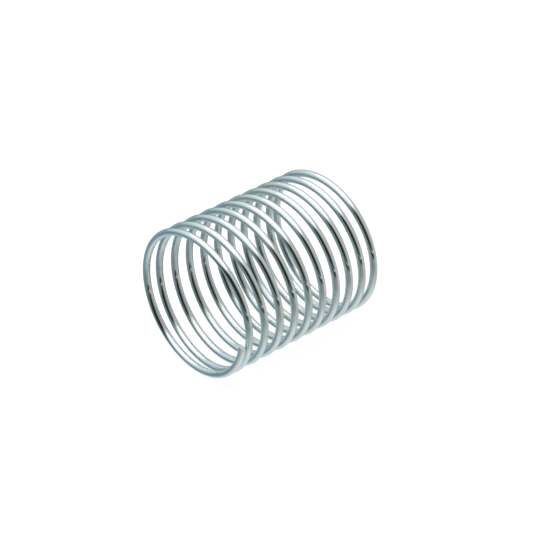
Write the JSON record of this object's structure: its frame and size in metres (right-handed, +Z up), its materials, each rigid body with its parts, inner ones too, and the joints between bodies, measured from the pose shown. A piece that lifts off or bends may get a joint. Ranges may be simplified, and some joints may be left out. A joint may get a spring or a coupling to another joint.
{
  "type": "spring coil toy",
  "caption": "Open helical spring of round steel wire with closed end coils, lying on its side; it stretches, squeezes and bends.",
  "frame": {"origin": "middle of the coil's axis, half way between the two end coils", "axes": "+X along the coil's axis, the way the right-handed wire climbs; +Z up, away from the surface that the coil lies on; +Y across the coil, towards its back"},
  "size_m": [0.0486, 0.0416, 0.0416],
  "materials": {
    "spring_wire": "bright zinc-plated drawn wire"
  },
  "bodies": {
    "closed_end_coil_left": {"closed_end_coil_left": "spring_wire"},
    "coil_1_back_lower": {"coil_1_back_lower": "spring_wire"},
    "coil_1_back_upper": {"coil_1_back_upper": "spring_wire"},
    "coil_1_front_upper": {"coil_1_front_upper": "spring_wire"},
    "coil_1_front_lower": {"coil_1_front_lower": "spring_wire"},
    "coil_2_back_lower": {"coil_2_back_lower": "spring_wire"},
    "coil_2_back_upper": {"coil_2_back_upper": "spring_wire"},
    "coil_2_front_upper": {"coil_2_front_upper": "spring_wire"},
    "coil_2_front_lower": {"coil_2_front_lower": "spring_wire"},
    "coil_3_back_lower": {"coil_3_back_lower": "spring_wire"},
    "coil_3_back_upper": {"coil_3_back_upper": "spring_wire"},
    "coil_3_front_upper": {"coil_3_front_upper": "spring_wire"},
    "coil_3_front_lower": {"coil_3_front_lower": "spring_wire"},
    "coil_4_back_lower": {"coil_4_back_lower": "spring_wire"},
    "coil_4_back_upper": {"coil_4_back_upper": "spring_wire"},
    "coil_4_front_upper": {"coil_4_front_upper": "spring_wire"},
    "coil_4_front_lower": {"coil_4_front_lower": "spring_wire"},
    "coil_5_back_lower": {"coil_5_back_lower": "spring_wire"},
    "coil_5_back_upper": {"coil_5_back_upper": "spring_wire"},
    "coil_5_front_upper": {"coil_5_front_upper": "spring_wire"},
    "coil_5_front_lower": {"coil_5_front_lower": "spring_wire"},
    "coil_6_back_lower": {"coil_6_back_lower": "spring_wire"},
    "coil_6_back_upper": {"coil_6_back_upper": "spring_wire"},
    "coil_6_front_upper": {"coil_6_front_upper": "spring_wire"},
    "coil_6_front_lower": {"coil_6_front_lower": "spring_wire"},
    "coil_7_back_lower": {"coil_7_back_lower": "spring_wire"},
    "coil_7_back_upper": {"coil_7_back_upper": "spring_wire"},
    "coil_7_front_upper": {"coil_7_front_upper": "spring_wire"},
    "coil_7_front_lower": {"coil_7_front_lower": "spring_wire"},
    "coil_8_back_lower": {"coil_8_back_lower": "spring_wire"},
    "coil_8_back_upper": {"coil_8_back_upper": "spring_wire"},
    "coil_8_front_upper": {"coil_8_front_upper": "spring_wire"},
    "coil_8_front_lower": {"coil_8_front_lower": "spring_wire"},
    "coil_9_back_lower": {"coil_9_back_lower": "spring_wire"},
    "closed_end_coil_right": {"closed_end_coil_right": "spring_wire"}
  },
  "joints": [
    {"name": "stretch", "type": "hinge", "parent": "closed_end_coil_left", "child": "coil_1_back_lower", "pos_m": [-0.01993, 0, -0.0198], "axis": [0, 1, 0], "range_deg": [-1.5, 6]},
    {"name": "bend_to_back", "type": "hinge", "parent": "coil_1_back_lower", "child": "coil_1_back_upper", "pos_m": [-0.01861, 0.0198, 0], "axis": [0, 0, 1], "range_deg": [0, 10]},
    {"name": "stretch_coil_1_top", "type": "hinge", "parent": "coil_1_back_upper", "child": "coil_1_front_upper", "pos_m": [-0.0173, 0, 0.0198], "axis": [0, -1, 0], "range_deg": [-3, 12]},
    {"name": "bend_to_front", "type": "hinge", "parent": "coil_1_front_upper", "child": "coil_1_front_lower", "pos_m": [-0.01599, -0.0198, 0], "axis": [0, 0, -1], "range_deg": [0, 10]},
    {"name": "stretch_coil_2_bottom", "type": "hinge", "parent": "coil_1_front_lower", "child": "coil_2_back_lower", "pos_m": [-0.01469, 0, -0.0198], "axis": [0, 1, 0], "range_deg": [-3, 12]},
    {"name": "bend_coil_2_back", "type": "hinge", "parent": "coil_2_back_lower", "child": "coil_2_back_upper", "pos_m": [-0.0134, 0.0198, 0], "axis": [0, 0, 1], "range_deg": [0, 10]},
    {"name": "stretch_coil_2_top", "type": "hinge", "parent": "coil_2_back_upper", "child": "coil_2_front_upper", "pos_m": [-0.01211, 0, 0.0198], "axis": [0, -1, 0], "range_deg": [-3, 12]},
    {"name": "bend_coil_2_front", "type": "hinge", "parent": "coil_2_front_upper", "child": "coil_2_front_lower", "pos_m": [-0.01082, -0.0198, 0], "axis": [0, 0, -1], "range_deg": [0, 10]},
    {"name": "stretch_coil_3_bottom", "type": "hinge", "parent": "coil_2_front_lower", "child": "coil_3_back_lower", "pos_m": [-0.00955, 0, -0.0198], "axis": [0, 1, 0], "range_deg": [-3, 12]},
    {"name": "bend_coil_3_back", "type": "hinge", "parent": "coil_3_back_lower", "child": "coil_3_back_upper", "pos_m": [-0.00828, 0.0198, 0], "axis": [0, 0, 1], "range_deg": [0, 10]},
    {"name": "stretch_coil_3_top", "type": "hinge", "parent": "coil_3_back_upper", "child": "coil_3_front_upper", "pos_m": [-0.00701, 0, 0.0198], "axis": [0, -1, 0], "range_deg": [-3, 12]},
    {"name": "bend_coil_3_front", "type": "hinge", "parent": "coil_3_front_upper", "child": "coil_3_front_lower", "pos_m": [-0.00575, -0.0198, 0], "axis": [0, 0, -1], "range_deg": [0, 10]},
    {"name": "stretch_coil_4_bottom", "type": "hinge", "parent": "coil_3_front_lower", "child": "coil_4_back_lower", "pos_m": [-0.00449, 0, -0.0198], "axis": [0, 1, 0], "range_deg": [-3, 12]},
    {"name": "bend_coil_4_back", "type": "hinge", "parent": "coil_4_back_lower", "child": "coil_4_back_upper", "pos_m": [-0.00325, 0.0198, 0], "axis": [0, 0, 1], "range_deg": [0, 10]},
    {"name": "stretch_coil_4_top", "type": "hinge", "parent": "coil_4_back_upper", "child": "coil_4_front_upper", "pos_m": [-0.002, 0, 0.0198], "axis": [0, -1, 0], "range_deg": [-3, 12]},
    {"name": "bend_coil_4_front", "type": "hinge", "parent": "coil_4_front_upper", "child": "coil_4_front_lower", "pos_m": [-0.00076, -0.0198, 0], "axis": [0, 0, -1], "range_deg": [0, 10]},
    {"name": "stretch_coil_5_bottom", "type": "hinge", "parent": "coil_4_front_lower", "child": "coil_5_back_lower", "pos_m": [0.00047, 0, -0.0198], "axis": [0, 1, 0], "range_deg": [-3, 12]},
    {"name": "bend_coil_5_back", "type": "hinge", "parent": "coil_5_back_lower", "child": "coil_5_back_upper", "pos_m": [0.00169, 0.0198, 0], "axis": [0, 0, 1], "range_deg": [0, 10]},
    {"name": "stretch_coil_5_top", "type": "hinge", "parent": "coil_5_back_upper", "child": "coil_5_front_upper", "pos_m": [0.00291, 0, 0.0198], "axis": [0, -1, 0], "range_deg": [-3, 12]},
    {"name": "bend_coil_5_front", "type": "hinge", "parent": "coil_5_front_upper", "child": "coil_5_front_lower", "pos_m": [0.00413, -0.0198, 0], "axis": [0, 0, -1], "range_deg": [0, 10]},
    {"name": "stretch_coil_6_bottom", "type": "hinge", "parent": "coil_5_front_lower", "child": "coil_6_back_lower", "pos_m": [0.00534, 0, -0.0198], "axis": [0, 1, 0], "range_deg": [-3, 12]},
    {"name": "bend_coil_6_back", "type": "hinge", "parent": "coil_6_back_lower", "child": "coil_6_back_upper", "pos_m": [0.00654, 0.0198, 0], "axis": [0, 0, 1], "range_deg": [0, 10]},
    {"name": "stretch_coil_6_top", "type": "hinge", "parent": "coil_6_back_upper", "child": "coil_6_front_upper", "pos_m": [0.00774, 0, 0.0198], "axis": [0, -1, 0], "range_deg": [-3, 12]},
    {"name": "bend_coil_6_front", "type": "hinge", "parent": "coil_6_front_upper", "child": "coil_6_front_lower", "pos_m": [0.00893, -0.0198, 0], "axis": [0, 0, -1], "range_deg": [0, 10]},
    {"name": "stretch_coil_7_bottom", "type": "hinge", "parent": "coil_6_front_lower", "child": "coil_7_back_lower", "pos_m": [0.01012, 0, -0.0198], "axis": [0, 1, 0], "range_deg": [-3, 12]},
    {"name": "bend_coil_7_back", "type": "hinge", "parent": "coil_7_back_lower", "child": "coil_7_back_upper", "pos_m": [0.0113, 0.0198, 0], "axis": [0, 0, 1], "range_deg": [0, 10]},
    {"name": "stretch_coil_7_top", "type": "hinge", "parent": "coil_7_back_upper", "child": "coil_7_front_upper", "pos_m": [0.01247, 0, 0.0198], "axis": [0, -1, 0], "range_deg": [-3, 12]},
    {"name": "bend_coil_7_front", "type": "hinge", "parent": "coil_7_front_upper", "child": "coil_7_front_lower", "pos_m": [0.01364, -0.0198, 0], "axis": [0, 0, -1], "range_deg": [0, 10]},
    {"name": "stretch_coil_8_bottom", "type": "hinge", "parent": "coil_7_front_lower", "child": "coil_8_back_lower", "pos_m": [0.0148, 0, -0.0198], "axis": [0, 1, 0], "range_deg": [-3, 12]},
    {"name": "bend_coil_8_back", "type": "hinge", "parent": "coil_8_back_lower", "child": "coil_8_back_upper", "pos_m": [0.01596, 0.0198, 0], "axis": [0, 0, 1], "range_deg": [0, 10]},
    {"name": "stretch_coil_8_top", "type": "hinge", "parent": "coil_8_back_upper", "child": "coil_8_front_upper", "pos_m": [0.01711, 0, 0.0198], "axis": [0, -1, 0], "range_deg": [-3, 12]},
    {"name": "bend_coil_8_front", "type": "hinge", "parent": "coil_8_front_upper", "child": "coil_8_front_lower", "pos_m": [0.01826, -0.0198, 0], "axis": [0, 0, -1], "range_deg": [0, 10]},
    {"name": "stretch_coil_9_bottom", "type": "hinge", "parent": "coil_8_front_lower", "child": "coil_9_back_lower", "pos_m": [0.0194, 0, -0.0198], "axis": [0, 1, 0], "range_deg": [-1.5, 6]},
    {"name": "bend_coil_9_back", "type": "hinge", "parent": "coil_9_back_lower", "child": "closed_end_coil_right", "pos_m": [0.02053, 0.0198, 0], "axis": [0, 0, 1], "range_deg": [0, 10]}
  ],
  "couplings": [
    {"joint": "stretch_coil_1_top", "follows": "stretch", "ratio": 2},
    {"joint": "stretch_coil_2_bottom", "follows": "stretch", "ratio": 2},
    {"joint": "bend_coil_2_back", "follows": "bend_to_back", "ratio": 1},
    {"joint": "stretch_coil_2_top", "follows": "stretch", "ratio": 2},
    {"joint": "bend_coil_2_front", "follows": "bend_to_front", "ratio": 1},
    {"joint": "stretch_coil_3_bottom", "follows": "stretch", "ratio": 2},
    {"joint": "bend_coil_3_back", "follows": "bend_to_back", "ratio": 1},
    {"joint": "stretch_coil_3_top", "follows": "stretch", "ratio": 2},
    {"joint": "bend_coil_3_front", "follows": "bend_to_front", "ratio": 1},
    {"joint": "stretch_coil_4_bottom", "follows": "stretch", "ratio": 2},
    {"joint": "bend_coil_4_back", "follows": "bend_to_back", "ratio": 1},
    {"joint": "stretch_coil_4_top", "follows": "stretch", "ratio": 2},
    {"joint": "bend_coil_4_front", "follows": "bend_to_front", "ratio": 1},
    {"joint": "stretch_coil_5_bottom", "follows": "stretch", "ratio": 2},
    {"joint": "bend_coil_5_back", "follows": "bend_to_back", "ratio": 1},
    {"joint": "stretch_coil_5_top", "follows": "stretch", "ratio": 2},
    {"joint": "bend_coil_5_front", "follows": "bend_to_front", "ratio": 1},
    {"joint": "stretch_coil_6_bottom", "follows": "stretch", "ratio": 2},
    {"joint": "bend_coil_6_back", "follows": "bend_to_back", "ratio": 1},
    {"joint": "stretch_coil_6_top", "follows": "stretch", "ratio": 2},
    {"joint": "bend_coil_6_front", "follows": "bend_to_front", "ratio": 1},
    {"joint": "stretch_coil_7_bottom", "follows": "stretch", "ratio": 2},
    {"joint": "bend_coil_7_back", "follows": "bend_to_back", "ratio": 1},
    {"joint": "stretch_coil_7_top", "follows": "stretch", "ratio": 2},
    {"joint": "bend_coil_7_front", "follows": "bend_to_front", "ratio": 1},
    {"joint": "stretch_coil_8_bottom", "follows": "stretch", "ratio": 2},
    {"joint": "bend_coil_8_back", "follows": "bend_to_back", "ratio": 1},
    {"joint": "stretch_coil_8_top", "follows": "stretch", "ratio": 2},
    {"joint": "bend_coil_8_front", "follows": "bend_to_front", "ratio": 1},
    {"joint": "stretch_coil_9_bottom", "follows": "stretch", "ratio": 1},
    {"joint": "bend_coil_9_back", "follows": "bend_to_back", "ratio": 1}
  ]
}
